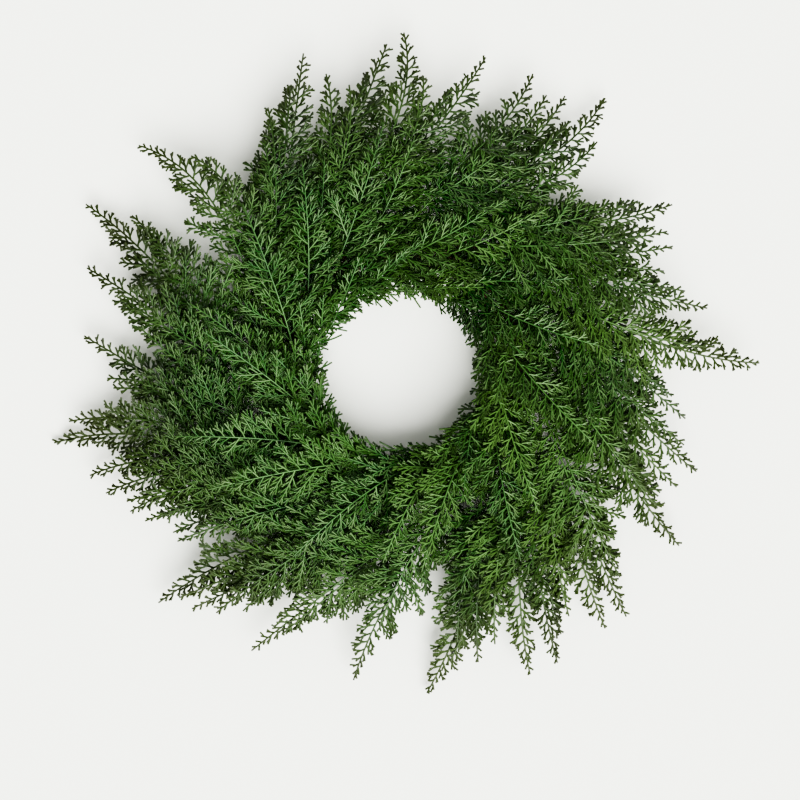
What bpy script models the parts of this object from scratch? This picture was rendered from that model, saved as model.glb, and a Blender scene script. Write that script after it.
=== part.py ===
"""A cedar wreath lying face up, in metres.

Three vine hoops lie side by side and make the ring. One wire winds round them and
over the bare stems of 54 flat cedar sprays, three stems to a turn. The sprays fan
out clockwise, each a step below the one before it. Bearings are in degrees,
clockwise from +Y as seen from above.
"""

import math
import random

import bmesh
import bpy
from mathutils import Matrix, Vector

# The ring's middle stands a little aside, because the sprays reach further to one side
MIDDLE = (-0.0055, 0.0010, 0)

# The ring: three hoops with flat tops and undersides
HOOP_RADII = {"outer": 0.119, "middle": 0.106, "inner": 0.093}
VINE_RADIUS = 0.006
VINE_SIDES = 6
PLAIN_HOOP_SEGMENTS = 36
SEAT_GAP = 0.0003
SMOOTH_BELOW = math.radians(40)

# The binding wire
WIRE_DIAMETER = 0.001
WIRE_TURNS = 18
WIRE_LEAD_DEG = 3
WIRE_CORNER_CUT = 0.0022
TURN_DEG = 360 / WIRE_TURNS

# The notches for the wire between the middle hoop's feet
NOTCH_HALF_DEG = 2
NOTCH_EASE_DEG = 3

# The sprays, three to each turn of the wire
SPRAY_STEP_DEG = TURN_DEG / len(HOOP_RADII)
FIRST_SEAT_DEG = -50
BLADE_THICKNESS = 0.0015

# The outer sprays' tips, two to a turn: bearing, reach from the middle in mm, and
# how far the tip leans clockwise from pointing straight out
OUTER_TIPS = (
    (1, 285, -8), (16, 273, 20), (25, 275, 8), (32, 271, 2), (38, 292, 4), (60, 272, 22),
    (67, 256, 15), (80, 268, 35), (90, 311, 12), (101, 250, 35), (110, 273, 33), (114, 262, 25),
    (123, 290, 25), (138, 294, 30), (142, 291, 30), (152, 292, 22), (157, 292, 16), (165, 267, 15),
    (175, 288, 35), (188, 277, 20), (207, 278, 30), (212, 251, 20), (220, 277, 30), (225, 293, 15),
    (243, 262, 15), (250, 284, -5), (257, 308, 3), (267, 251, 10), (275, 273, 30), (287, 281, 24),
    (297, 304, 15), (310, 292, -10), (333, 245, 20), (343, 278, 30), (346, 256, 5), (358, 273, 30),
)
BEND_SHARE = 0.40

# The inner sprays, one to a turn, dip towards the hole: least and most bearing past
# the seat and reach in mm, of the bend and of the tip
INNER_BEND_DEG, INNER_BEND_MM = (38, 43), (79, 85)
INNER_TIP_DEG, INNER_TIP_MM = (60, 76), (160, 205)
INNER_SEED = 7

# A spray's own form
TAIL_LENGTH = 0.008
BARE_LENGTH = 0.024
STEM_HALF_WIDTH = 0.0016
TIP_HALF_WIDTH = 0.0007
BRANCH_ANGLE = math.radians(42)
SHORTEST_BRANCH, LONGEST_BRANCH = 0.0055, 0.046
BRANCH_TO_STEM_LEFT, TAPER_POWER = 0.65, 1.3
ROOT_SPACING = 0.0138
TIP_ROOT_SPACING = 0.0081
ROOT_SPREAD = 0.080

# A branch stops short of meeting the next one, on the inside of the stem's bend
SHARE_TO_MEETING = 0.8
LEAST_TURN = 0.001

# A long branch is forked: shares of its length, along it and forwards from it
FORKED_FROM = 0.036
FORK_ROOM = 4
NOTCH_ALONG, NOTCH_ASIDE = 0.52, 0.04
FORK_ALONG, FORK_ASIDE = 0.78, 0.13

# The sheet that all sprays lie on
CLIMB_PER_RADIAN = 0.055
CLIMB_START = math.radians(3.3)
CLIMB_LAG = math.radians(4)
LEVEL_INSIDE, LEVEL_OUTSIDE = 0.087, 0.150
INNER_DROP, INNER_DROP_WIDTH = 0.007, 0.032
OUTER_DROP, OUTER_DROP_WIDTH = 0.039, 0.160
WAVE_HEIGHT, WAVE_INSIDE, WAVE_WIDTH = 0.006, 0.145, 0.120
# Each wave: its share of the height, how many go round the wreath, and its phase
WAVES = ((0.6, 5, 0.7), (0.4, 9, 2.1))

VINE_HEIGHT = 2 * VINE_RADIUS * math.cos(math.pi / VINE_SIDES)
WIRE_ROOM = WIRE_DIAMETER + 2 * SEAT_GAP
RING_TOP = WIRE_ROOM + VINE_HEIGHT
STEM_LEVEL = RING_TOP + SEAT_GAP + BLADE_THICKNESS / 2


def plan_point(bearing_deg, radius):
    angle = math.radians(bearing_deg)
    return Vector((radius * math.sin(angle), radius * math.cos(angle)))


def material(name, colour, roughness, metallic=0.0):
    made = bpy.data.materials.new(name)
    made.use_nodes = True
    shader = made.node_tree.nodes["Principled BSDF"]
    shader.inputs["Base Color"].default_value = (*colour, 1)
    shader.inputs["Roughness"].default_value = roughness
    shader.inputs["Metallic"].default_value = metallic
    return made


def add_object(name, data, parent, collection, finish):
    obj = bpy.data.objects.new(name, data)
    data.materials.append(finish)
    obj.parent = parent
    collection.objects.link(obj)
    return obj


# The vine hoops. A torus counts its rings anticlockwise, so their bearings run down.

def even_bearings():
    return [-360 * i / PLAIN_HOOP_SEGMENTS for i in range(PLAIN_HOOP_SEGMENTS)]


def footed_bearings():
    """Four bearings to a turn: the two ends of a foot, then of the notch after it."""
    start = FIRST_SEAT_DEG - WIRE_LEAD_DEG
    foot_end = NOTCH_HALF_DEG + NOTCH_EASE_DEG
    marks = (-foot_end, foot_end - TURN_DEG, NOTCH_HALF_DEG - TURN_DEG, -NOTCH_HALF_DEG - TURN_DEG)
    return [start - n * TURN_DEG + mark for n in range(WIRE_TURNS) for mark in marks]


def plain_hoop(radius, bearings):
    """A torus whose rings of points stand at the given bearings."""
    bpy.ops.mesh.primitive_torus_add(
        major_radius=radius,
        minor_radius=VINE_RADIUS,
        major_segments=len(bearings),
        minor_segments=VINE_SIDES,
    )
    made = bpy.context.object
    mesh = made.data
    for i, vertex in enumerate(mesh.vertices):
        reach = math.hypot(vertex.co.x, vertex.co.y)
        height = vertex.co.z + WIRE_ROOM + VINE_HEIGHT / 2
        vertex.co = (*plan_point(bearings[i // VINE_SIDES], reach), height)
    bpy.data.objects.remove(made)
    mesh.shade_smooth()
    mesh.set_sharp_from_angle(angle=SMOOTH_BELOW)
    return mesh


def footed_hoop(radius):
    """A hoop swollen down to the surface between the wire's turns."""
    mesh = plain_hoop(radius, footed_bearings())
    for i, vertex in enumerate(mesh.vertices):
        is_foot = (i // VINE_SIDES) % 4 < 2
        if is_foot and vertex.co.z < WIRE_ROOM + VINE_HEIGHT / 4:
            vertex.co.z = 0
    return mesh


def add_hoops(parent, collection, finish):
    for place, radius in HOOP_RADII.items():
        mesh = footed_hoop(radius) if place == "middle" else plain_hoop(radius, even_bearings())
        add_object(f"vine_hoop_{place}", mesh, parent, collection, finish)


# The binding wire

def cut_corners(points, cut):
    """Each corner of a closed path replaced by two points, a cut's length from it."""
    out = []
    for i, corner in enumerate(points):
        for other in (points[i - 1], points[(i + 1) % len(points)]):
            out.append(corner + (other - corner).normalized() * cut)
    return out


def wire_path():
    """Over the stems from the outer hoop to the inner one, down, and back below."""
    off = SEAT_GAP + WIRE_DIAMETER / 2
    outer = HOOP_RADII["outer"] + VINE_RADIUS + off
    inner = HOOP_RADII["inner"] - VINE_RADIUS - off
    low = off
    high = STEM_LEVEL + BLADE_THICKNESS / 2 + SEAT_GAP + off
    corners = []
    for n in range(WIRE_TURNS):
        start = FIRST_SEAT_DEG - WIRE_LEAD_DEG + n * TURN_DEG
        end = start + TURN_DEG
        corners += [
            Vector((*plan_point(start, outer), high)),
            Vector((*plan_point(end, inner), high)),
            Vector((*plan_point(end, inner), low)),
            Vector((*plan_point(end, outer), low)),
        ]
    return cut_corners(corners, WIRE_CORNER_CUT)


def add_wire(parent, collection, finish):
    curve = bpy.data.curves.new("binding_wire", "CURVE")
    curve.dimensions = "3D"
    curve.bevel_depth = WIRE_DIAMETER / 2
    curve.bevel_resolution = 0
    points = wire_path()
    spline = curve.splines.new("POLY")
    spline.points.add(len(points) - 1)
    for target, point in zip(spline.points, points):
        target.co = (*point, 1)
    spline.use_cyclic_u = True
    add_object("binding_wire", curve, parent, collection, finish)


# The sheet that the sprays lie on

def climb(sweep):
    """Height that a spray gains as it sweeps round from its seat."""
    past = max(0, sweep - CLIMB_START)
    return CLIMB_PER_RADIAN * (past - CLIMB_LAG * (1 - math.exp(-past / CLIMB_LAG)))


def level(radius):
    """Level over the ring, falling towards the hole and towards the outer tips."""
    inside = max(0, LEVEL_INSIDE - radius) / INNER_DROP_WIDTH
    outside = min(1, max(0, radius - LEVEL_OUTSIDE) / OUTER_DROP_WIDTH)
    return STEM_LEVEL - INNER_DROP * inside**2 - OUTER_DROP * outside**2 * (3 - 2 * outside)


def wave(radius, bearing):
    swing = sum(share * math.sin(count * bearing + phase) for share, count, phase in WAVES)
    return WAVE_HEIGHT * max(0, radius - WAVE_INSIDE) / WAVE_WIDTH * swing


def on_sheet(point, seat_deg):
    """The place above a point in plan, on the sheet of the spray with this seat."""
    radius = point.length
    bearing = math.atan2(point.x, point.y)
    sweep = (bearing - math.radians(seat_deg) + math.pi) % (2 * math.pi) - math.pi
    return Vector((*point, level(radius) + climb(sweep) + wave(radius, bearing)))


# One spray

class Spine:
    """A stem's line in plan, from its tail through its seat and bend to its tip."""

    def __init__(self, seat, bend, tip, steps=60):
        self.points = [seat - (bend - seat).normalized() * TAIL_LENGTH]
        for i in range(steps + 1):
            t = i / steps
            self.points.append((1 - t) ** 2 * seat + 2 * t * (1 - t) * bend + t**2 * tip)
        self.marks = [0]
        for a, b in zip(self.points, self.points[1:]):
            self.marks.append(self.marks[-1] + (b - a).length)
        self.length = self.marks[-1]

    def at(self, mark):
        """The point and the forward direction at this distance from the tail."""
        i = 0
        while i < len(self.points) - 2 and self.marks[i + 1] < mark:
            i += 1
        a, b = self.points[i], self.points[i + 1]
        share = (mark - self.marks[i]) / (self.marks[i + 1] - self.marks[i])
        return a.lerp(b, min(1, share)), (b - a).normalized()


def root_marks(spine, shift):
    """Where one side's branches meet, along the stem: closer together near the tip."""
    mark = TAIL_LENGTH + BARE_LENGTH + shift
    marks = []
    while spine.length - mark > ROOT_SPACING:
        marks.append(mark)
        mark += TIP_ROOT_SPACING + ROOT_SPREAD * (spine.length - mark)
    return marks


def edge_point(spine, side, mark):
    """A point on the stem's edge: side is 1 on its right and -1 on its left."""
    point, ahead = spine.at(mark)
    share = mark / spine.length
    half = STEM_HALF_WIDTH * (1 - share) + TIP_HALF_WIDTH * share
    return point + side * half * Vector((ahead.y, -ahead.x))


def length_to_meeting(spine, side, rear, front):
    """How far out a branch and the next one meet, where the stem bends to their side."""
    spacing = front - rear
    ahead = spine.at(rear + spacing / 2)[1]
    next_ahead = spine.at(front + spacing / 2)[1]
    turn = side * ahead.angle_signed(next_ahead)
    return spacing * math.sin(BRANCH_ANGLE) / max(turn, LEAST_TURN)


def branch_outline(spine, side, rear, front):
    """A branch's points in plan: its tip, and its notch and fork if there is room."""
    root, ahead = spine.at((rear + front) / 2)
    meeting = length_to_meeting(spine, side, rear, front)
    full = SHORTEST_BRANCH + BRANCH_TO_STEM_LEFT * (spine.length - rear) ** TAPER_POWER
    length = min(LONGEST_BRANCH, full, SHARE_TO_MEETING * meeting)
    along = length * (Matrix.Rotation(-side * BRANCH_ANGLE, 2) @ ahead)
    aside = side * Vector((-along.y, along.x))
    outline = [root + along]
    if length > FORKED_FROM and meeting > FORK_ROOM * length:
        outline.append(root + NOTCH_ALONG * along + NOTCH_ASIDE * aside)
        outline.append(root + FORK_ALONG * along + FORK_ASIDE * aside)
    return outline


def add_branch(mesh, rear, outline, front):
    """Triangles that fill a branch between its two roots on the stem's edge."""
    if len(outline) == 1:
        mesh.faces.new((rear, outline[0], front))
        return
    tip, notch, fork = outline
    mesh.faces.new((rear, tip, notch))
    mesh.faces.new((rear, notch, front))
    mesh.faces.new((notch, fork, front))


def add_stem(mesh, right, left):
    """Triangles between the stem's edges, each a list of (mark, vertex)."""
    i = j = 0
    while i < len(right) - 1:
        if j < len(left) - 1 and left[j + 1][0] < right[i + 1][0]:
            mesh.faces.new((right[i][1], left[j + 1][1], left[j][1]))
            j += 1
        else:
            mesh.faces.new((right[i][1], right[i + 1][1], left[j][1]))
            i += 1


def spray_mesh(name, spine, seat_deg):
    """A flat spray laid on the sheet: a stem with branches on both sides."""
    mesh = bmesh.new()

    def vertex(plan):
        return mesh.verts.new(on_sheet(plan, seat_deg))

    edges = {}
    for side in (1, -1):
        roots = root_marks(spine, 0 if side == 1 else ROOT_SPACING / 2)
        marks = [0, TAIL_LENGTH, TAIL_LENGTH + BARE_LENGTH / 2] + roots
        edges[side] = [(mark, vertex(edge_point(spine, side, mark))) for mark in marks]
        rooted = edges[side][-len(roots):]
        for rear, front in zip(rooted, rooted[1:]):
            outline = branch_outline(spine, side, rear[0], front[0])
            add_branch(mesh, rear[1], [vertex(plan) for plan in outline], front[1])
    edges[1].append((spine.length, vertex(spine.points[-1])))
    add_stem(mesh, edges[1], edges[-1])
    bmesh.ops.recalc_face_normals(mesh, faces=mesh.faces)
    data = bpy.data.meshes.new(name)
    mesh.to_mesh(data)
    mesh.free()
    return data


# All the sprays

def outer_spray(seat_deg, seat_radius, tip_deg, reach_mm, lean_deg):
    """Seat, bend and tip of a spray whose last stretch leans as given."""
    seat = plan_point(seat_deg, seat_radius)
    tip = plan_point(tip_deg, reach_mm / 1000)
    back = plan_point(tip_deg + lean_deg, BEND_SHARE * (tip - seat).length)
    return seat, tip - back, tip


def inner_spray(seat_deg, seat_radius, draw):
    """Seat, bend and tip of a spray that dips towards the hole."""
    bend_past, bend_mm = draw.uniform(*INNER_BEND_DEG), draw.uniform(*INNER_BEND_MM)
    tip_past, tip_mm = draw.uniform(*INNER_TIP_DEG), draw.uniform(*INNER_TIP_MM)
    seat = plan_point(seat_deg, seat_radius)
    bend = plan_point(seat_deg + bend_past, bend_mm / 1000)
    return seat, bend, plan_point(seat_deg + tip_past, tip_mm / 1000)


def spray_layout():
    """The seat bearing and the (seat, bend, tip) of every spray, in turn."""
    draw = random.Random(INNER_SEED)
    layout = []
    for n in range(WIRE_TURNS):
        seats = [FIRST_SEAT_DEG + n * TURN_DEG + i * SPRAY_STEP_DEG for i in range(3)]
        for seat_deg, place, tip in zip(seats, ("outer", "middle"), OUTER_TIPS[2 * n:]):
            layout.append((seat_deg, outer_spray(seat_deg, HOOP_RADII[place], *tip)))
        layout.append((seats[2], inner_spray(seats[2], HOOP_RADII["inner"], draw)))
    return layout


def add_sprays(parent, collection, finish):
    for i, (seat_deg, places) in enumerate(spray_layout()):
        name = f"spray_{i + 1:02d}"
        mesh = spray_mesh(name, Spine(*places), seat_deg)
        obj = add_object(name, mesh, parent, collection, finish)
        skin = obj.modifiers.new("thickness", "SOLIDIFY")
        skin.thickness = BLADE_THICKNESS
        skin.offset = 0


def build():
    for old in list(bpy.data.objects):
        bpy.data.objects.remove(old)
    wreath = bpy.data.collections.new("cedar_wreath")
    bpy.context.scene.collection.children.link(wreath)
    middle = bpy.data.objects.new("wreath_middle", None)
    middle.location = MIDDLE
    wreath.objects.link(middle)
    add_hoops(middle, wreath, material("vine_bark", (0.16, 0.09, 0.05), 0.85))
    add_wire(middle, wreath, material("dark_wire", (0.05, 0.06, 0.05), 0.45, 0.9))
    add_sprays(middle, wreath, material("cedar_green", (0.06, 0.17, 0.055), 0.6))
    bpy.context.view_layer.update()


build()
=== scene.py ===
import math
import random

import bpy
import numpy as np
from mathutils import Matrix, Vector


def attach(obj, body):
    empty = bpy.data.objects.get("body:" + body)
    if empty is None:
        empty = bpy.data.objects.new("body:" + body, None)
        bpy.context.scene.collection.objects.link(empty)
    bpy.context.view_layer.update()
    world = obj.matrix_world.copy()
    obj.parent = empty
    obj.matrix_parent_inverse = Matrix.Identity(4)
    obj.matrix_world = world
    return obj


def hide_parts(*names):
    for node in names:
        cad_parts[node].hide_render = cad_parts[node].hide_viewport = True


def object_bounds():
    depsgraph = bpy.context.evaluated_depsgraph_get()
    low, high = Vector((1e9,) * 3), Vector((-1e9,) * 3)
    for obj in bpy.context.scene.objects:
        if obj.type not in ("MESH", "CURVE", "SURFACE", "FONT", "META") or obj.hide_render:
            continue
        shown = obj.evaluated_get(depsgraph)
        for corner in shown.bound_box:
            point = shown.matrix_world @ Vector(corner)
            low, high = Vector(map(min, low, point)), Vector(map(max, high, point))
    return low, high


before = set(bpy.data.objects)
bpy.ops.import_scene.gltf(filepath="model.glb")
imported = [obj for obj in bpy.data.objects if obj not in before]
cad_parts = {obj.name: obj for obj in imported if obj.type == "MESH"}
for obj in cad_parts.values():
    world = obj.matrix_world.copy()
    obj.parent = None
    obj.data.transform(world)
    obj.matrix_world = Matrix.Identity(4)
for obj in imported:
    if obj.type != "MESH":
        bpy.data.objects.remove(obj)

cad_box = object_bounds()

# The ring's three hoops. Each is a rope of three grapevine canes, wound while they are green
# and dried. Between the turns of the wire the middle hoop is pared flat below, and the
# wreath rests on those flats.

# The hoops' common middle, in plan
MIDDLE = (-0.0055, 0.0010)
HOOP_RADII = {"outer": 0.119, "middle": 0.106, "inner": 0.093}
CANE_TWISTS = {"outer": 9, "middle": 8, "inner": 7}
VINE_RADIUS = 0.006
VINE_HEIGHT = 2 * VINE_RADIUS * math.cos(math.radians(30))
WIRE_DIAMETER = 0.001
SEAT_GAP = 0.0003
WIRE_ROOM = WIRE_DIAMETER + 2 * SEAT_GAP
HOOP_LEVEL = WIRE_ROOM + VINE_HEIGHT / 2
CANE_RADIUS = VINE_HEIGHT / 4
FOOT_STRETCH = 1.32

# Bearings are in degrees, clockwise from +Y as seen from above
WIRE_TURNS = 18
TURN_DEG = 360 / WIRE_TURNS
FIRST_SEAT_DEG = -50
WIRE_LEAD_DEG = 3
NOTCH_HALF_DEG, NOTCH_EASE_DEG = 2, 3


def colour(code):
    """An sRGB hex colour as the linear values that a shader takes."""
    shares = [int(code[i:i + 2], 16) / 255 for i in (1, 3, 5)]
    linear = [s / 12.92 if s <= 0.04045 else ((s + 0.055) / 1.055) ** 2.4 for s in shares]
    return (*linear, 1)


def add(tree, kind, inputs=None, **settings):
    """Adds a node with its settings, and its inputs by name or place: a value or a link."""
    node = tree.nodes.new(kind)
    for name, value in settings.items():
        setattr(node, name, value)
    for name, value in (inputs or {}).items():
        if isinstance(value, bpy.types.NodeSocket):
            tree.links.new(value, node.inputs[name])
        else:
            node.inputs[name].default_value = value
    return node


def new_tree(name, outlet, inlets):
    """A geometry node tree with these inputs and one geometry output."""
    tree = bpy.data.node_groups.new(name, "GeometryNodeTree")
    for inlet, kind in inlets:
        tree.interface.new_socket(inlet, in_out="INPUT", socket_type=f"NodeSocket{kind}")
    tree.interface.new_socket(outlet, in_out="OUTPUT", socket_type="NodeSocketGeometry")
    return tree, add(tree, "NodeGroupInput").outputs


def grown(name, source, tree, **inputs):
    """The plain mesh that a node tree makes of a curve or mesh, with the tree's own inputs."""
    maker = bpy.data.objects.new(f"{name}_maker", source)
    bpy.context.scene.collection.objects.link(maker)
    modifier = maker.modifiers.new("maker", "NODES")
    modifier.node_group = tree
    for item in tree.interface.items_tree:
        key = item.name.replace(" ", "_").lower()
        if item.in_out == "INPUT" and key in inputs:
            modifier[item.identifier] = inputs[key]
    deps = bpy.context.evaluated_depsgraph_get()
    mesh = bpy.data.meshes.new_from_object(maker.evaluated_get(deps))
    bpy.data.objects.remove(maker)
    mesh.name = name
    return mesh


def points_of(mesh):
    """A mesh's points, one to a row."""
    co = np.empty(3 * len(mesh.vertices))
    mesh.vertices.foreach_get("co", co)
    return co.reshape(-1, 3)


def add_piece(name, mesh, co, node):
    """A finished piece at these points, which stands for its CAD node and rides where that does."""
    co[:, :2] += MIDDLE
    mesh.vertices.foreach_set("co", co.ravel())
    mesh.update()
    piece = bpy.data.objects.new(name, mesh)
    bpy.context.scene.collection.objects.link(piece)
    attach(piece, "root")
    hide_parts(node)


# Dry bark, never sanded: dull, grey-brown, split into strips along the cane
STRIP_WIDTH, STRIP_LENGTH, SPLIT_DEPTH = 0.0012, 0.020, 0.0006
bark = bpy.data.materials.new("dry_vine_bark")
bark.use_nodes = True
tree = bark.node_tree
shader = tree.nodes["Principled BSDF"]
along = add(tree, "ShaderNodeAttribute", attribute_name="along").outputs["Fac"]
around = add(tree, "ShaderNodeAttribute", attribute_name="around").outputs["Vector"]
around = add(tree, "ShaderNodeSeparateXYZ", {0: around}).outputs
grain = add(tree, "ShaderNodeCombineXYZ", {"X": around["X"], "Y": around["Y"], "Z": along}).outputs[0]
grain = add(
    tree, "ShaderNodeMapping",
    {"Vector": grain, "Scale": (1 / STRIP_WIDTH, 1 / STRIP_WIDTH, 1 / STRIP_LENGTH)}
).outputs[0]
strips = add(tree, "ShaderNodeTexNoise", {"Vector": grain, "Scale": 1.0, "Detail": 4.0}).outputs["Fac"]
base = add(tree, "ShaderNodeValToRGB", {0: strips}).outputs[0]
ramp = base.node.color_ramp.elements
ramp[0].position, ramp[0].color = 0.35, colour("#2c1d12")
ramp[1].position, ramp[1].color = 0.70, colour("#7d624a")
tree.links.new(base, shader.inputs["Base Color"])
shader.inputs["Roughness"].default_value = 0.85
splits = add(
    tree, "ShaderNodeBump", {"Height": strips, "Strength": 0.8, "Distance": SPLIT_DEPTH}
).outputs[0]
tree.links.new(splits, shader.inputs["Normal"])

canes, given = new_tree("twisted_canes", "Canes", (
    ("Hoop Radius", "Float"), ("Cane Radius", "Float"), ("Twists", "Float"), ("Material", "Material"),
))
CANES, CANE_STEPS, CANE_SIDES = 3, 150, 8
KNOT_SIZE, THINNEST = 0.025, 0.80
solids = add(canes, "GeometryNodeJoinGeometry")
factor = add(canes, "GeometryNodeSplineParameter").outputs
place = add(canes, "GeometryNodeInputPosition").outputs[0]
outward = add(canes, "ShaderNodeVectorMath", {0: place}, operation="NORMALIZE").outputs[0]
turned = add(
    canes, "ShaderNodeMath", {0: factor["Factor"], 1: given["Twists"]}, operation="MULTIPLY"
).outputs[0]
knots = add(
    canes, "ShaderNodeTexNoise", {"Vector": place, "Scale": 1 / KNOT_SIZE, "Detail": 1.0}
).outputs["Fac"]
swell = add(
    canes, "ShaderNodeMapRange",
    {"Value": knots, "From Min": 0.3, "From Max": 0.6, "To Min": THINNEST, "To Max": 1.0}
).outputs[0]
swell = add(canes, "ShaderNodeMath", {0: swell, 1: given["Cane Radius"]}, operation="MULTIPLY").outputs[0]
for i in range(CANES):
    hoop = add(
        canes, "GeometryNodeCurvePrimitiveCircle", {"Resolution": CANE_STEPS, "Radius": given["Hoop Radius"]}
    ).outputs[0]
    angle = add(
        canes, "ShaderNodeMath", {0: turned, 1: math.tau, 2: i * math.tau / CANES}, operation="MULTIPLY_ADD"
    ).outputs[0]
    across = add(canes, "ShaderNodeMath", {0: angle}, operation="COSINE").outputs[0]
    up = add(canes, "ShaderNodeMath", {0: angle}, operation="SINE").outputs[0]
    across = add(canes, "ShaderNodeVectorMath", {0: outward, "Scale": across}, operation="SCALE").outputs[0]
    up = add(canes, "ShaderNodeCombineXYZ", {"Z": up}).outputs[0]
    off = add(canes, "ShaderNodeVectorMath", {0: across, 1: up}, operation="ADD").outputs[0]
    off = add(
        canes, "ShaderNodeVectorMath", {0: off, "Scale": given["Cane Radius"]}, operation="SCALE"
    ).outputs[0]
    cane = add(canes, "GeometryNodeSetPosition", {"Geometry": hoop, "Offset": off}).outputs[0]
    cane = add(
        canes, "GeometryNodeStoreNamedAttribute",
        {"Geometry": cane, "Name": "along", "Value": factor["Length"]}
    ).outputs[0]
    ring = add(
        canes, "GeometryNodeCurvePrimitiveCircle", {"Resolution": CANE_SIDES, "Radius": 1.0}
    ).outputs[0]
    on_ring = add(
        canes, "ShaderNodeVectorMath", {0: place, "Scale": given["Cane Radius"]}, operation="SCALE"
    ).outputs[0]
    ring = add(
        canes, "GeometryNodeStoreNamedAttribute", {"Geometry": ring, "Name": "around", "Value": on_ring},
        data_type="FLOAT_VECTOR"
    ).outputs[0]
    skin = add(
        canes, "GeometryNodeCurveToMesh", {"Curve": cane, "Profile Curve": ring, "Scale": swell}
    ).outputs[0]
    canes.links.new(skin, solids.inputs[0])
done = add(canes, "GeometryNodeSetShadeSmooth", {"Geometry": solids.outputs[0]}).outputs[0]
done = add(canes, "GeometryNodeRealizeInstances", {0: done}).outputs[0]
done = add(canes, "GeometryNodeSetMaterial", {"Geometry": done, "Material": given["Material"]}).outputs[0]
add(canes, "NodeGroupOutput", {0: done})

for place, radius in HOOP_RADII.items():
    mesh = grown(
        f"cane_hoop_{place}", bpy.data.meshes.new("no_points"), canes,
        hoop_radius=radius, cane_radius=CANE_RADIUS, twists=float(CANE_TWISTS[place]), material=bark,
    )
    co = points_of(mesh)
    if place == "middle":
        bearing = np.degrees(np.arctan2(co[:, 0], co[:, 1]))
        from_notch = (bearing - FIRST_SEAT_DEG + WIRE_LEAD_DEG + TURN_DEG / 2) % TURN_DEG - TURN_DEG / 2
        foot = np.clip((np.abs(from_notch) - NOTCH_HALF_DEG) / NOTCH_EASE_DEG, 0, 1)
        stretch = np.where(co[:, 2] < 0, 1 + (FOOT_STRETCH - 1) * foot, 1)
        co[:, 2] = np.maximum(co[:, 2] * stretch, -HOOP_LEVEL)
    co[:, 2] += HOOP_LEVEL
    add_piece(f"cane_hoop_{place}", mesh, co, f"vine_hoop_{place}")

# The cedar sprays. Each is a pick of green polyethylene, moulded over a wire core: a long
# frond and one to four shorter ones on one bare stem, which is wired down on the ring. A
# frond has side shoots on both sides, twigs on those, and blunt fingers on the twigs.

BLADE_THICKNESS = 0.0015
STEM_LEVEL = WIRE_ROOM + VINE_HEIGHT + SEAT_GAP + BLADE_THICKNESS / 2
SPRAY_STEP_DEG = TURN_DEG / 3

# Each outer spray's tip: bearing, reach from the middle in mm, and how far the tip leans
# clockwise from pointing straight out. Then bearing and reach of each shorter frond's tip
OUTER_TIPS = (
    (1, 285, -14, 5, 246), (16, 273, 14, 11, 240), (25, 275, -3, 29, 262), (32, 271, -4, 35, 250),
    (38, 292, -8, 42, 256), (60, 272, 10, 64, 255, 56, 248), (67, 256, 9, 62, 250, 53, 228),
    (80, 268, 21, 76, 252, 71, 240), (90, 311, 2, 87, 264), (101, 250, 29, 97, 235),
    (110, 273, 18, 106, 255), (114, 262, 19, 118, 240), (123, 290, 15, 119, 255), (138, 294, 15, 134, 265),
    (142, 291, 15, 146, 262), (152, 292, 12, 149, 272), (157, 292, 10, 161, 255), (165, 267, 9, 168, 245),
    (175, 288, 34, 170, 262, 167, 235), (188, 277, 9, 184, 226), (207, 278, 24, 203, 252, 196, 232),
    (212, 251, 14, 216, 265), (220, 277, 24, 223, 276), (225, 293, 9, 231, 242),
    (243, 262, 9, 238, 256, 233, 242), (250, 284, -3, 246, 276, 241, 264, 237, 248), (257, 308, -3, 260, 290),
    (267, 251, 4, 265, 246), (275, 273, 26, 278, 224), (287, 281, 12, 283, 245),
    (297, 304, 7, 299, 262, 292, 246), (310, 292, -22, 315, 250, 294, 190), (333, 245, 14, 329, 222),
    (343, 278, 24, 339, 255), (346, 256, -1, 350, 240), (358, 273, 22, 354, 248),
)
BEND_SHARE = 0.40

# The inner sprays dip towards the hole: least and most bearing past the seat and reach in
# mm, of the bend and of the tip
INNER_BEND_DEG, INNER_BEND_MM = (38, 43), (79, 85)
INNER_TIP_DEG, INNER_TIP_MM = (60, 76), (160, 205)
INNER_SEED = 7

# An inner spray's shorter fronds, by their turn from the long one about the seat and their
# share of its length: a side frond turns out, two rim fronds turn in as far as leaves this
# much clear round the hole's own middle, and a low frond turns out over the gap by the ring
SIDE_TURN_DEG, SIDE_SHARE, SIDE_RISE = (8, 15), (0.58, 0.78), (0.001, 0.004)
RIM_TURN_DEG, RIM_SHARE, RIM_CLEARS = 30, (0.50, 0.70), (0.071, 0.080)
LOW_TURN_DEG, LOW_SHARE, LOW_DROP = 42, 0.52, 0.003
HOLE_MIDDLE, HOLE_RADIUS = (0.0015, -0.009, 0), 0.0615
SIDE_SEED = 11

# A stem's tail behind its seat, and its bare stretch: the least, and the share of a long and
# of a short frond's line
TAIL_LENGTH = 0.008
BARE_LENGTH, LONG_BARE, SHORT_BARE = 0.024, 0.20, 0.38
STEM_STEPS = 80
# The step between side shoots: at the tip, and its growth for each metre back from there
ROOT_STEP, ROOT_SPREAD = 0.0030, 0.022

# The sheet that the sprays lie on: it climbs clockwise from each seat, so that each spray
# lies under the one before it, and it drops to the hole and to the outer tips
CLIMB_PER_RADIAN = 0.055
CLIMB_START, CLIMB_LAG = math.radians(3.3), math.radians(4)
LEVEL_INSIDE, LEVEL_OUTSIDE = 0.087, 0.150
INNER_DROP, INNER_DROP_WIDTH = 0.007, 0.032
OUTER_DROP, OUTER_DROP_WIDTH = 0.039, 0.160
WAVE_HEIGHT, WAVE_INSIDE, WAVE_WIDTH = 0.006, 0.145, 0.120
# Each wave: its share of the height, how many go round the wreath, and its phase
WAVES = ((0.6, 5, 0.7), (0.4, 9, 2.1))
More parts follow.
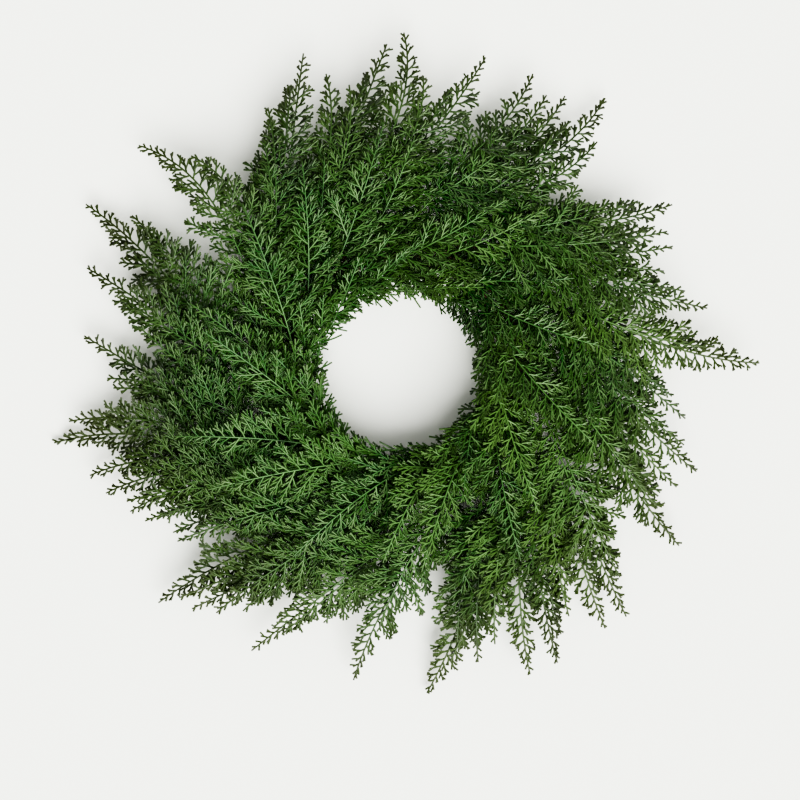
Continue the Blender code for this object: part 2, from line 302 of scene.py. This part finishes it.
# No twig reaches lower or higher than these, and each has at least this room to tilt
LOWEST, HIGHEST, LEAST_ROOM = 0.0012, cad_box[1][2] - 0.0006, 0.0005


def plan_point(bearing_deg, radius):
    """A point in plan, from the hoops' middle."""
    angle = math.radians(bearing_deg)
    return np.array((radius * math.sin(angle), radius * math.cos(angle)))


def sheet_height(x, y, seat_deg):
    """Height of the sheet above each point in plan, for the spray with this seat."""
    radius, bearing = np.hypot(x, y), np.arctan2(x, y)
    sweep = (bearing - math.radians(seat_deg) + math.pi) % (2 * math.pi) - math.pi
    past = np.maximum(0, sweep - CLIMB_START)
    climb = CLIMB_PER_RADIAN * (past - CLIMB_LAG * (1 - np.exp(-past / CLIMB_LAG)))
    inside = np.maximum(0, LEVEL_INSIDE - radius) / INNER_DROP_WIDTH
    outside = np.clip((radius - LEVEL_OUTSIDE) / OUTER_DROP_WIDTH, 0, 1)
    level = STEM_LEVEL - INNER_DROP * inside**2 - OUTER_DROP * outside**2 * (3 - 2 * outside)
    swing = sum(share * np.sin(count * bearing + phase) for share, count, phase in WAVES)
    return level + climb + WAVE_HEIGHT * np.maximum(0, radius - WAVE_INSIDE) / WAVE_WIDTH * swing


def outer_line(seat_deg, seat_radius, tip_deg, reach_mm, lean_deg):
    """Seat, bend and tip in plan of a spray whose last stretch leans as given."""
    seat, tip = plan_point(seat_deg, seat_radius), plan_point(tip_deg, reach_mm / 1000)
    back = plan_point(tip_deg + lean_deg, BEND_SHARE * np.linalg.norm(tip - seat))
    return seat, tip - back, tip


def inner_line(seat_deg, seat_radius, draw):
    """Seat, bend and tip in plan of a spray that dips towards the hole."""
    bend_past, bend_mm = draw.uniform(*INNER_BEND_DEG), draw.uniform(*INNER_BEND_MM)
    tip_past, tip_mm = draw.uniform(*INNER_TIP_DEG), draw.uniform(*INNER_TIP_MM)
    bend = plan_point(seat_deg + bend_past, bend_mm / 1000)
    return plan_point(seat_deg, seat_radius), bend, plan_point(seat_deg + tip_past, tip_mm / 1000)


def turned_line(line, clockwise_deg, share):
    """The same line, turned about its seat and shortened to this share."""
    seat = line[0]
    cos, sin = math.cos(math.radians(clockwise_deg)), math.sin(math.radians(clockwise_deg))
    turn = np.array(((cos, sin), (-sin, cos)))
    return tuple(seat + share * turn @ (point - seat) for point in line)


def arc_points(line):
    """Points along the curve from a line's seat to its tip, drawn towards its bend."""
    seat, bend, tip = line
    t = np.linspace(0, 1, STEM_STEPS)[:, None]
    return (1 - t) ** 2 * seat + 2 * t * (1 - t) * bend + t**2 * tip


def least_radius(line):
    """How near a line comes to the middle of the hole."""
    return np.min(np.linalg.norm(arc_points(line) - HOLE_MIDDLE[:2], axis=1))


def stem_points(line, rise, bare_share):
    """A stem's points: its tail, its seat, each shoot's root, and its tip, which rises."""
    seat, bend, tip = line
    tail = seat - TAIL_LENGTH * (bend - seat) / np.linalg.norm(bend - seat)
    path = np.vstack([tail, arc_points(line)])
    run = np.append(0, np.cumsum(np.linalg.norm(np.diff(path, axis=0), axis=1)))
    marks = [0, TAIL_LENGTH]
    mark = TAIL_LENGTH + max(BARE_LENGTH, bare_share * run[-1])
    while mark < run[-1] - ROOT_STEP:
        marks.append(mark)
        mark += ROOT_STEP + ROOT_SPREAD * (run[-1] - mark)
    marks.append(run[-1])
    height = rise * (np.array(marks) / run[-1]) ** 2
    return np.column_stack([np.interp(marks, run, path[:, k]) for k in (0, 1)] + [height])


# One order of shoots, on a curve with a point at each shoot's root: alternately left and
# right, shorter towards the parent's tip, and a little bowed forwards. "Left" is the length
# of parent that is left beyond a root
side_shoots, given = new_tree("side_shoots", "Shoots", (
    ("Parent", "Geometry"), ("Bare", "Float"), ("Least Left", "Float"), ("Angle", "Float"),
    ("Angle per Left", "Float"), ("Angle Spread", "Float"), ("End Length", "Float"),
    ("Length per Left", "Float"), ("Taper Power", "Float"), ("Most Length", "Float"), ("Tilt", "Float"),
    ("Likeness", "Float"), ("Segments", "Int"), ("Seed", "Int"),
    ("Hole Middle", "Vector"), ("Hole Radius", "Float"),
))
SHORTEST_DRAW, LONGEST_DRAW = 0.62, 1.10
HOLE_FRINGE, SHORTEST_KEPT, LEAST_INWARD = (-0.004, 0.009), 0.0018, 0.0001
PITCH_KEPT = 0.85
BOW = (0.50, 0.05, 0)
along = add(side_shoots, "GeometryNodeSplineParameter").outputs
whole = add(side_shoots, "GeometryNodeSplineLength").outputs["Length"]
left = add(side_shoots, "ShaderNodeMath", {0: whole, 1: along["Length"]}, operation="SUBTRACT").outputs[0]
parity = add(side_shoots, "ShaderNodeMath", {0: along["Index"], 1: 2}, operation="MODULO").outputs[0]
side = add(side_shoots, "ShaderNodeMath", {0: parity, 1: -2, 2: 1}, operation="MULTIPLY_ADD").outputs[0]
kept = side_shoots.nodes.new("GeometryNodeCaptureAttribute")
for name, value in (("Left", left), ("Side", side), ("Run", along["Length"])):
    kept.capture_items.new("FLOAT", name)
    side_shoots.links.new(value, kept.inputs[name])
side_shoots.links.new(given["Parent"], kept.inputs["Geometry"])
kept = kept.outputs
roots = add(
    side_shoots, "GeometryNodeCurveToPoints", {"Curve": kept["Geometry"]}, mode="EVALUATED"
).outputs
# A draw for each root's angle, tilt, length, shade and fringe at the hole
draws = []
for i, (low, high) in enumerate(((-1, 1), (-1, 1), (SHORTEST_DRAW, LONGEST_DRAW), (0, 1), HOLE_FRINGE)):
    seed = add(
        side_shoots, "ShaderNodeMath", {0: given["Seed"], 1: 5, 2: i}, operation="MULTIPLY_ADD"
    ).outputs[0]
    draws.append(add(side_shoots, "FunctionNodeRandomValue", {2: low, 3: high, "Seed": seed}).outputs[1])
angle_draw, tilt_draw, length_draw, shade_draw, fringe_draw = draws
parent_shade = add(side_shoots, "GeometryNodeInputNamedAttribute", {"Name": "shade"}).outputs[0]
shade = add(
    side_shoots, "ShaderNodeMix", {0: given["Likeness"], 2: shade_draw, 3: parent_shade}
).outputs[0]
points = add(
    side_shoots, "GeometryNodeStoreNamedAttribute",
    {"Geometry": roots["Points"], "Name": "shade", "Value": shade}
).outputs[0]
ahead = add(side_shoots, "ShaderNodeSeparateXYZ", {0: roots["Tangent"]}).outputs
heading = add(side_shoots, "ShaderNodeMath", {0: ahead["Y"], 1: ahead["X"]}, operation="ARCTAN2").outputs[0]
angle = add(
    side_shoots, "ShaderNodeMath", {0: kept["Left"], 1: given["Angle per Left"], 2: given["Angle"]},
    operation="MULTIPLY_ADD"
).outputs[0]
angle = add(
    side_shoots, "ShaderNodeMath", {0: angle_draw, 1: given["Angle Spread"], 2: angle},
    operation="MULTIPLY_ADD"
).outputs[0]
heading = add(
    side_shoots, "ShaderNodeMath", {0: angle, 1: kept["Side"], 2: heading}, operation="MULTIPLY_ADD"
).outputs[0]
tilt = add(side_shoots, "ShaderNodeMath", {0: tilt_draw, 1: given["Tilt"]}, operation="MULTIPLY").outputs[0]
tilt = add(
    side_shoots, "ShaderNodeMath", {0: ahead["Z"], 1: -PITCH_KEPT, 2: tilt}, operation="MULTIPLY_ADD"
).outputs[0]
turn = add(side_shoots, "ShaderNodeCombineXYZ", {"Y": tilt, "Z": heading}).outputs[0]
length = add(
    side_shoots, "ShaderNodeMath", {0: kept["Left"], 1: given["Taper Power"]}, operation="POWER"
).outputs[0]
length = add(
    side_shoots, "ShaderNodeMath",
    {0: length, 1: given["Length per Left"], 2: given["End Length"]}, operation="MULTIPLY_ADD"
).outputs[0]
length = add(
    side_shoots, "ShaderNodeMath", {0: length, 1: given["Most Length"]}, operation="MINIMUM"
).outputs[0]
length = add(side_shoots, "ShaderNodeMath", {0: length, 1: length_draw}, operation="MULTIPLY").outputs[0]
# A shoot that would reach into the wreath's hole ends at its rim
from_middle = add(
    side_shoots, "ShaderNodeVectorMath",
    {0: add(side_shoots, "GeometryNodeInputPosition").outputs[0], 1: given["Hole Middle"]},
    operation="SUBTRACT"
).outputs[0]
from_middle = add(
    side_shoots, "ShaderNodeVectorMath", {0: from_middle, 1: (1, 1, 0)}, operation="MULTIPLY"
).outputs[0]
reach = add(side_shoots, "ShaderNodeCombineXYZ", {"X": length}).outputs[0]
reach = add(
    side_shoots, "ShaderNodeVectorRotate", {"Vector": reach, "Angle": heading}, rotation_type="Z_AXIS"
).outputs[0]
end = add(side_shoots, "ShaderNodeVectorMath", {0: from_middle, 1: reach}, operation="ADD").outputs[0]
root_out = add(
    side_shoots, "ShaderNodeVectorMath", {0: from_middle}, operation="LENGTH"
).outputs["Value"]
end_out = add(side_shoots, "ShaderNodeVectorMath", {0: end}, operation="LENGTH").outputs["Value"]
rim = add(
    side_shoots, "ShaderNodeMath", {0: given["Hole Radius"], 1: fringe_draw}, operation="ADD"
).outputs[0]
room = add(side_shoots, "ShaderNodeMath", {0: root_out, 1: rim}, operation="SUBTRACT").outputs[0]
inward = add(side_shoots, "ShaderNodeMath", {0: root_out, 1: end_out}, operation="SUBTRACT").outputs[0]
inward = add(side_shoots, "ShaderNodeMath", {0: inward, 1: LEAST_INWARD}, operation="MAXIMUM").outputs[0]
fits = add(
    side_shoots, "ShaderNodeMath", {0: room, 1: inward}, operation="DIVIDE", use_clamp=True
).outputs[0]
length = add(side_shoots, "ShaderNodeMath", {0: length, 1: fits}, operation="MULTIPLY").outputs[0]
across = add(side_shoots, "ShaderNodeMath", {0: length, 1: kept["Side"]}, operation="MULTIPLY").outputs[0]
scale = add(side_shoots, "ShaderNodeCombineXYZ", {"X": length, "Y": across, "Z": length}).outputs[0]
past_bare = add(
    side_shoots, "FunctionNodeCompare", {0: kept["Run"], 1: given["Bare"]}, operation="GREATER_THAN"
).outputs[0]
not_last = add(
    side_shoots, "FunctionNodeCompare", {0: kept["Left"], 1: given["Least Left"]}, operation="GREATER_THAN"
).outputs[0]
long_enough = add(
    side_shoots, "FunctionNodeCompare", {0: length, 1: SHORTEST_KEPT}, operation="GREATER_THAN"
).outputs[0]
grows = add(side_shoots, "FunctionNodeBooleanMath", {0: past_bare, 1: not_last}, operation="AND").outputs[0]
grows = add(side_shoots, "FunctionNodeBooleanMath", {0: grows, 1: long_enough}, operation="AND").outputs[0]
shoot = add(
    side_shoots, "GeometryNodeCurveQuadraticBezier",
    {"Resolution": given["Segments"], "Start": (0, 0, 0), "Middle": BOW, "End": (1, 0, 0)}
).outputs[0]
placed = add(
    side_shoots, "GeometryNodeInstanceOnPoints",
    {"Points": points, "Selection": grows, "Instance": shoot, "Rotation": turn, "Scale": scale}
).outputs[0]
loose = add(side_shoots, "GeometryNodeRealizeInstances", {0: placed}).outputs[0]
add(side_shoots, "NodeGroupOutput", {0: loose})

# Polyethylene, injection moulded and left matt: deep green in the mass, with a soft gloss.
# A grey-green painted highlight lies on the open tops of the twigs, over painted shade below.
# Some sprays and patches are yellower, and the outer twigs and all twig ends are a darker olive
MOULDED_DARK, MOULDED_LIGHT = "#012605", "#22501a"
# Painted highlight colours, dark and light, for the open tops of the twigs
LIT_TOP_DARK, LIT_TOP_LIGHT = "#215421", "#667c55"
YELLOW_GREEN, OUTSIDE_OLIVE, END_OLIVE = "#5a7b3e", "#282706", "#2e3216"
PATCH_SIZE, PATCH_SHARE = 0.045, 0.22
OLIVE_RADII, OLIVE_SHARE, END_SHARE = (0.17, 0.27), 0.70, 0.4
# How far up a face looks where the painted highlight begins, and where it is full
LIT_FACES = (0.35, 0.95)
SCALE_SIZE, SCALE_DEPTH = 0.002, 0.0004
cedar = bpy.data.materials.new("moulded_polyethylene")
cedar.use_nodes = True
tree = cedar.node_tree
shader = tree.nodes["Principled BSDF"]
place = add(tree, "ShaderNodeTexCoord").outputs["Object"]
patches = add(
    tree, "ShaderNodeTexNoise", {"Vector": place, "Scale": 1 / PATCH_SIZE, "Detail": 2.0}
).outputs["Fac"]
patches = add(tree, "ShaderNodeMapRange", {"Value": patches, "From Min": 0.35, "From Max": 0.65}).outputs[0]
shade = add(tree, "ShaderNodeAttribute", attribute_name="shade").outputs["Fac"]
tone = add(tree, "ShaderNodeAttribute", attribute_name="tone").outputs["Fac"]
tip = add(tree, "ShaderNodeAttribute", attribute_name="tip").outputs["Fac"]
moulded = add(
    tree, "ShaderNodeMix", {0: shade, 6: colour(MOULDED_DARK), 7: colour(MOULDED_LIGHT)}, data_type="RGBA"
).outputs[2]
lit_tops = add(
    tree, "ShaderNodeMix", {0: shade, 6: colour(LIT_TOP_DARK), 7: colour(LIT_TOP_LIGHT)}, data_type="RGBA"
).outputs[2]
# Painted shade: each point's share of light, lower the deeper it lies in the mass
unshaded_fac = add(tree, "ShaderNodeAttribute", attribute_name="open").outputs["Fac"]
normal = add(tree, "ShaderNodeNewGeometry").outputs["Normal"]
upward = add(tree, "ShaderNodeSeparateXYZ", {0: normal}).outputs["Z"]
upward = add(
    tree, "ShaderNodeMapRange", {"Value": upward, "From Min": LIT_FACES[0], "From Max": LIT_FACES[1]}
).outputs[0]
# Painted highlight on faces that lie open and face up; elsewhere the moulded green stands as painted shade
lit_share = add(tree, "ShaderNodeMath", {0: unshaded_fac, 1: upward}, operation="MULTIPLY").outputs[0]
base = add(tree, "ShaderNodeMix", {0: lit_share, 6: moulded, 7: lit_tops}, data_type="RGBA").outputs[2]
yellow = add(
    tree, "ShaderNodeMath", {0: patches, 1: PATCH_SHARE, 2: tone}, operation="MULTIPLY_ADD"
).outputs[0]
base = add(tree, "ShaderNodeMix", {0: yellow, 6: base, 7: colour(YELLOW_GREEN)}, data_type="RGBA").outputs[2]
outside = add(tree, "ShaderNodeVectorMath", {0: place}, operation="LENGTH").outputs["Value"]
outside = add(
    tree, "ShaderNodeMapRange",
    {"Value": outside, "From Min": OLIVE_RADII[0], "From Max": OLIVE_RADII[1], "To Max": OLIVE_SHARE}
).outputs[0]
base = add(
    tree, "ShaderNodeMix", {0: outside, 6: base, 7: colour(OUTSIDE_OLIVE)}, data_type="RGBA"
).outputs[2]
tip = add(tree, "ShaderNodeMath", {0: tip, 1: END_SHARE}, operation="MULTIPLY").outputs[0]
base = add(tree, "ShaderNodeMix", {0: tip, 6: base, 7: colour(END_OLIVE)}, data_type="RGBA").outputs[2]
tree.links.new(base, shader.inputs["Base Color"])
shader.inputs["Roughness"].default_value = 0.36
shader.inputs["IOR"].default_value = 1.51
shader.inputs["Specular IOR Level"].default_value = 0.3
scales = add(
    tree, "ShaderNodeTexNoise", {"Vector": place, "Scale": 1 / SCALE_SIZE, "Detail": 2.0}
).outputs["Fac"]
scales = add(tree, "ShaderNodeBump", {"Height": scales, "Strength": 0.6, "Distance": SCALE_DEPTH}).outputs[0]
tree.links.new(scales, shader.inputs["Normal"])

# The whole spray, flat: shoots on the stems, twigs on the shoots and fingers on the twigs.
# Each order: the step between roots on its parent, side_shoots' settings in metres and
# radians, and the radii at root and end
spray, given = new_tree("cedar_spray", "Spray", (
    ("Stem", "Geometry"), ("Tone", "Float"), ("Seed", "Int"), ("Material", "Material"),
))
# How far before the end of the bare stretch a shoot may still grow
BARE_EASE = 0.001
ORDERS = (
    (None, {
        "Bare": TAIL_LENGTH + BARE_LENGTH - BARE_EASE, "Least Left": 0.002,
        "Angle": 0.62, "Angle per Left": 2.5, "Angle Spread": 0.22,
        "End Length": 0.0046, "Length per Left": 0.81, "Taper Power": 1.36, "Most Length": 0.044,
        "Tilt": 0.26, "Likeness": 0.0, "Segments": 2,
    }, 0.00090, 0.00085),
    (0.0028, {
        "Bare": 0.002, "Least Left": 0.0030,
        "Angle": 0.50, "Angle per Left": 0.0, "Angle Spread": 0.20,
        "End Length": 0.0038, "Length per Left": 0.50, "Taper Power": 1.0, "Most Length": 0.0105,
        "Tilt": 0.32, "Likeness": 0.20, "Segments": 1,
    }, 0.00074, 0.00088),
    (0.0034, {
        "Bare": 0.0020, "Least Left": 0.0022,
        "Angle": 0.50, "Angle per Left": 0.0, "Angle Spread": 0.22,
        "End Length": 0.0030, "Length per Left": 0.40, "Taper Power": 1.0, "Most Length": 0.0058,
        "Tilt": 0.42, "Likeness": 0.20, "Segments": 1,
    }, 0.00068, 0.00092),
)
STEM_RADII, STEM_SIDES, STEM_SHADE = (0.0009, 0.0007), 5, 0.25
TWIG_SIDES = 3
TIP_LENGTH = 0.004
# Twigs thicken outwards between these radii of the wreath, to this many times their own
BLUNT_RADII, BLUNTEST = (0.18, 0.25), 1.22
stem = add(
    spray, "GeometryNodeStoreNamedAttribute",
    {"Geometry": given["Stem"], "Name": "shade", "Value": STEM_SHADE}
).outputs[0]
grown_orders = [(stem, *STEM_RADII, STEM_SIDES)]
parent = stem
for step, settings, root_radius, end_radius in ORDERS:
    if step:
        parent = add(
            spray, "GeometryNodeResampleCurve", {"Curve": parent, "Length": step}, mode="LENGTH"
        ).outputs[0]
    places = {
        "Parent": parent, "Seed": given["Seed"], "Hole Middle": HOLE_MIDDLE, "Hole Radius": HOLE_RADIUS
    }
    parent = add(spray, "GeometryNodeGroup", {**places, **settings}, node_tree=side_shoots).outputs[0]
    grown_orders.append((parent, root_radius, end_radius, TWIG_SIDES))
solids = add(spray, "GeometryNodeJoinGeometry")
factor = add(spray, "GeometryNodeSplineParameter").outputs
whole = add(spray, "GeometryNodeSplineLength").outputs["Length"]
left = add(spray, "ShaderNodeMath", {0: whole, 1: factor["Length"]}, operation="SUBTRACT").outputs[0]
tip = add(
    spray, "ShaderNodeMapRange", {"Value": left, "From Max": TIP_LENGTH, "To Min": 1.0, "To Max": 0.0}
).outputs[0]
from_ring = add(spray, "GeometryNodeInputPosition").outputs[0]
from_ring = add(spray, "ShaderNodeVectorMath", {0: from_ring}, operation="LENGTH").outputs["Value"]
blunt = add(spray, "ShaderNodeMapRange", {
    "Value": from_ring, "From Min": BLUNT_RADII[0], "From Max": BLUNT_RADII[1],
    "To Min": 1.0, "To Max": BLUNTEST
}).outputs[0]
for curve, root_radius, end_radius, sides in grown_orders:
    radius = add(
        spray, "ShaderNodeMapRange", {"Value": factor["Factor"], "To Min": root_radius, "To Max": end_radius}
    ).outputs[0]
    radius = add(spray, "ShaderNodeMath", {0: radius, 1: blunt}, operation="MULTIPLY").outputs[0]
    curve = add(
        spray, "GeometryNodeStoreNamedAttribute", {"Geometry": curve, "Name": "tip", "Value": tip}
    ).outputs[0]
    curve = add(spray, "GeometryNodeSetCurveNormal", {"Curve": curve}, mode="Z_UP").outputs[0]
    ring = add(spray, "GeometryNodeCurvePrimitiveCircle", {"Resolution": sides, "Radius": 1.0}).outputs[0]
    # A quarter turn, so that a three-sided twig has a flat side on top
    ring = add(
        spray, "GeometryNodeTransform", {"Geometry": ring, "Rotation": (0, 0, math.pi / 2)}
    ).outputs[0]
    skin = add(
        spray, "GeometryNodeCurveToMesh",
        {"Curve": curve, "Profile Curve": ring, "Scale": radius, "Fill Caps": True}
    ).outputs[0]
    spray.links.new(skin, solids.inputs[0])
done = add(
    spray, "GeometryNodeStoreNamedAttribute",
    {"Geometry": solids.outputs[0], "Name": "tone", "Value": given["Tone"]}
).outputs[0]
done = add(spray, "GeometryNodeSetShadeSmooth", {"Geometry": done}).outputs[0]
done = add(spray, "GeometryNodeRealizeInstances", {0: done}).outputs[0]
done = add(spray, "GeometryNodeSetMaterial", {"Geometry": done, "Material": given["Material"]}).outputs[0]
add(spray, "NodeGroupOutput", {0: done})

# Each spray's seat, and its fronds: line in plan, rise of the tip, and bare share
inner_draw, side_draw = random.Random(INNER_SEED), random.Random(SIDE_SEED)
sprays = []
for n in range(WIRE_TURNS):
    seats = [FIRST_SEAT_DEG + n * TURN_DEG + i * SPRAY_STEP_DEG for i in range(3)]
    for seat_deg, hoop, tip in zip(seats, ("outer", "middle"), OUTER_TIPS[2 * n:]):
        line = outer_line(seat_deg, HOOP_RADII[hoop], *tip[:3])
        fronds = [(line, 0, LONG_BARE)]
        for side_deg, reach_mm in zip(tip[3::2], tip[4::2]):
            long, short = line[2] - line[0], plan_point(side_deg, reach_mm / 1000) - line[0]
            clockwise = math.degrees(math.atan2(*short) - math.atan2(*long))
            side_line = turned_line(line, clockwise, np.linalg.norm(short) / np.linalg.norm(long))
            fronds.append((side_line, side_draw.uniform(*SIDE_RISE), SHORT_BARE))
        sprays.append((seat_deg, fronds))
    line = inner_line(seats[2], HOOP_RADII["inner"], inner_draw)
    side_line = turned_line(line, -side_draw.uniform(*SIDE_TURN_DEG), side_draw.uniform(*SIDE_SHARE))
    fronds = [(line, 0, 0), (side_line, side_draw.uniform(*SIDE_RISE), SHORT_BARE)]
    for clear in RIM_CLEARS:
        rim_turn, rim_share = RIM_TURN_DEG, side_draw.uniform(*RIM_SHARE)
        while least_radius(turned_line(line, rim_turn, rim_share)) < clear:
            rim_turn -= 1
        fronds.append((turned_line(line, rim_turn, rim_share), -side_draw.uniform(*SIDE_RISE), 0))
    fronds.append((turned_line(line, -LOW_TURN_DEG, LOW_SHARE), -LOW_DROP, 0))
    sprays.append((seats[2], fronds))

# Each spray has a little yellow of its own, most of them hardly any
MOST_YELLOW, TONE_SEED = 0.50, 285
tone_draw = random.Random(TONE_SEED)
grown_sprays = []
for i, (seat_deg, fronds) in enumerate(sprays):
    curve = bpy.data.curves.new(f"stems_{i + 1:02d}", "CURVE")
    curve.dimensions = "3D"
    for line, rise, bare_share in fronds:
        points = stem_points(line, rise, bare_share)
        spline = curve.splines.new("POLY")
        spline.points.add(len(points) - 1)
        spline.points.foreach_set("co", np.column_stack([points, np.ones(len(points))]).ravel())
    name = f"cedar_spray_{i + 1:02d}"
    mesh = grown(name, curve, spray, seed=i, tone=MOST_YELLOW * tone_draw.random() ** 2, material=cedar)
    co = points_of(mesh)
    sheet = np.minimum(sheet_height(co[:, 0], co[:, 1], seat_deg), HIGHEST - LEAST_ROOM)
    room = np.maximum(np.where(co[:, 2] > 0, HIGHEST - sheet, sheet - LOWEST), LEAST_ROOM)
    co[:, 2] = sheet + room * np.tanh(co[:, 2] / room)
    grown_sprays.append((mesh, co))

# Painted light: each point's share of the painted highlight, from its depth below the highest
# point in its cell of a grid, so that deeper twigs get painted shade; less on outer twigs
CELL, CELLS, SHADE_DEPTH = 0.005, 200, 0.013
LIT_RADII, LIT_SHARES = (0.18, 0.26), (1, 0.25)
cells = [np.floor(co[:, :2] / CELL).astype(int) + CELLS // 2 for _, co in grown_sprays]
top = np.zeros((CELLS, CELLS))
for spots, (_, co) in zip(cells, grown_sprays):
    np.maximum.at(top, (spots[:, 0], spots[:, 1]), co[:, 2])
for i, (spots, (mesh, co)) in enumerate(zip(cells, grown_sprays)):
    # Painted shade: the share falls to nothing at this depth below the local top
    share = np.clip(1 - (top[spots[:, 0], spots[:, 1]] - co[:, 2]) / SHADE_DEPTH, 0, 1)
    share *= np.interp(np.hypot(co[:, 0], co[:, 1]), LIT_RADII, LIT_SHARES)
    # Stored on the mesh for the material's painted highlight and painted shade
    mesh.attributes.new("open", "FLOAT", "POINT").data.foreach_set("value", share)
    add_piece(mesh.name, mesh, co, f"spray_{i + 1:02d}")

# The binding wire. One length of florist's wire, 1 mm with its green lacquer, wound round
# the hoops and the bare stems, a turn to every three sprays.

WIRE_CORNER_RADIUS = 0.0022
WIRE_SIDES, CORNER_STEPS = 8, 4

# Lacquered steel: a thin smooth coat, dark green, that shines on the outside of each bend
# and is paler where it has rubbed
RUB_SIZE = 0.006
lacquer = bpy.data.materials.new("lacquered_steel")
lacquer.use_nodes = True
tree = lacquer.node_tree
shader = tree.nodes["Principled BSDF"]
place = add(tree, "ShaderNodeTexCoord").outputs["Object"]
rubbed = add(
    tree, "ShaderNodeTexNoise", {"Vector": place, "Scale": 1 / RUB_SIZE, "Detail": 3.0}
).outputs["Fac"]
rubbed = add(tree, "ShaderNodeMapRange", {"Value": rubbed, "From Min": 0.60, "From Max": 0.70}).outputs[0]
base = add(
    tree, "ShaderNodeMix", {0: rubbed, 6: colour("#16261a"), 7: colour("#3c4a3a")}, data_type="RGBA"
).outputs[2]
tree.links.new(base, shader.inputs["Base Color"])
shader.inputs["Roughness"].default_value = 0.30

binding, given = new_tree("bound_wire", "Wire", (
    ("Path", "Geometry"), ("Radius", "Float"), ("Material", "Material"),
))
path = add(binding, "GeometryNodeFilletCurve", {
    "Curve": given["Path"], "Count": CORNER_STEPS, "Radius": WIRE_CORNER_RADIUS, "Limit Radius": True
}, mode="POLY").outputs[0]
ring = add(
    binding, "GeometryNodeCurvePrimitiveCircle", {"Resolution": WIRE_SIDES, "Radius": given["Radius"]}
).outputs[0]
skin = add(binding, "GeometryNodeCurveToMesh", {"Curve": path, "Profile Curve": ring}).outputs[0]
done = add(binding, "GeometryNodeSetShadeSmooth", {"Geometry": skin}).outputs[0]
done = add(binding, "GeometryNodeRealizeInstances", {0: done}).outputs[0]
done = add(
    binding, "GeometryNodeSetMaterial", {"Geometry": done, "Material": given["Material"]}
).outputs[0]
add(binding, "NodeGroupOutput", {0: done})

off = SEAT_GAP + WIRE_DIAMETER / 2
outer = HOOP_RADII["outer"] + VINE_RADIUS + off
inner = HOOP_RADII["inner"] - VINE_RADIUS - off
high = STEM_LEVEL + BLADE_THICKNESS / 2 + SEAT_GAP + off
corners = []
for n in range(WIRE_TURNS):
    start = FIRST_SEAT_DEG - WIRE_LEAD_DEG + n * TURN_DEG
    end = start + TURN_DEG
    turn = ((start, outer, high), (end, inner, high), (end, inner, off), (end, outer, off))
    corners += [(*plan_point(bearing, radius), height, 1) for bearing, radius, height in turn]
curve = bpy.data.curves.new("wire_path", "CURVE")
curve.dimensions = "3D"
spline = curve.splines.new("POLY")
spline.points.add(len(corners) - 1)
spline.points.foreach_set("co", np.ravel(corners))
spline.use_cyclic_u = True
mesh = grown("green_wire", curve, binding, radius=WIRE_DIAMETER / 2, material=lacquer)
add_piece("green_wire", mesh, points_of(mesh), "binding_wire")

# The floor, the light and the camera. The floor is matt white paint, pale and even, and it
# reaches past what any view shows.

FLOOR_REACH = 30.0
floor_mesh = bpy.data.meshes.new("floor")
corners = [(x * FLOOR_REACH, y * FLOOR_REACH, 0) for x, y in ((-1, -1), (1, -1), (1, 1), (-1, 1))]
floor_mesh.from_pydata(corners, [], [(0, 1, 2, 3)])
floor = bpy.data.objects.new("floor", floor_mesh)
bpy.context.scene.collection.objects.link(floor)
paint = bpy.data.materials.new("matt_white_paint")
paint.use_nodes = True
shader = paint.node_tree.nodes["Principled BSDF"]
shader.inputs["Base Color"].default_value = colour("#f6f9ee")
shader.inputs["Roughness"].default_value = 0.9
floor_mesh.materials.append(paint)

world = bpy.data.worlds.new("soft_white_room")
world.use_nodes = True
world.node_tree.nodes["Background"].inputs["Color"].default_value = (1, 1, 1, 1)
world.node_tree.nodes["Background"].inputs["Strength"].default_value = 0.40
bpy.context.scene.world = world

# Each light: a sun with a wide face, its strength, its height above the horizon, its width,
# and its turn anticlockwise from the wreath's lower edge. A tall window stands beyond that
# edge and a little to the right, and weaker light comes from the right side
LIGHTS = {"window": (6.9, 53, 50, 22), "fill": (0.9, 45, 60, 90)}
for name, (strength, height_deg, width_deg, turn_deg) in LIGHTS.items():
    lamp = bpy.data.lights.new(name, "SUN")
    lamp.energy = strength
    lamp.angle = math.radians(width_deg)
    light = bpy.data.objects.new(name, lamp)
    light.rotation_euler = (math.radians(90 - height_deg), 0, math.radians(turn_deg))
    bpy.context.scene.collection.objects.link(light)

# The camera looks straight down, and its frame has this width at the foliage's own level
CAMERA_PLACE, FRAME_WIDTH, FRAME_LEVEL = (-0.0038, -0.0308, 1.625), 0.687, 0.030
camera = bpy.data.objects.new("camera", bpy.data.cameras.new("camera"))
camera.location = CAMERA_PLACE
camera.data.sensor_width = 36
camera.data.lens = camera.data.sensor_width * (CAMERA_PLACE[2] - FRAME_LEVEL) / FRAME_WIDTH
bpy.context.scene.collection.objects.link(camera)
bpy.context.scene.camera = camera
bpy.context.scene.view_settings.view_transform = "AgX"
bpy.context.scene.view_settings.look = "AgX - High Contrast"
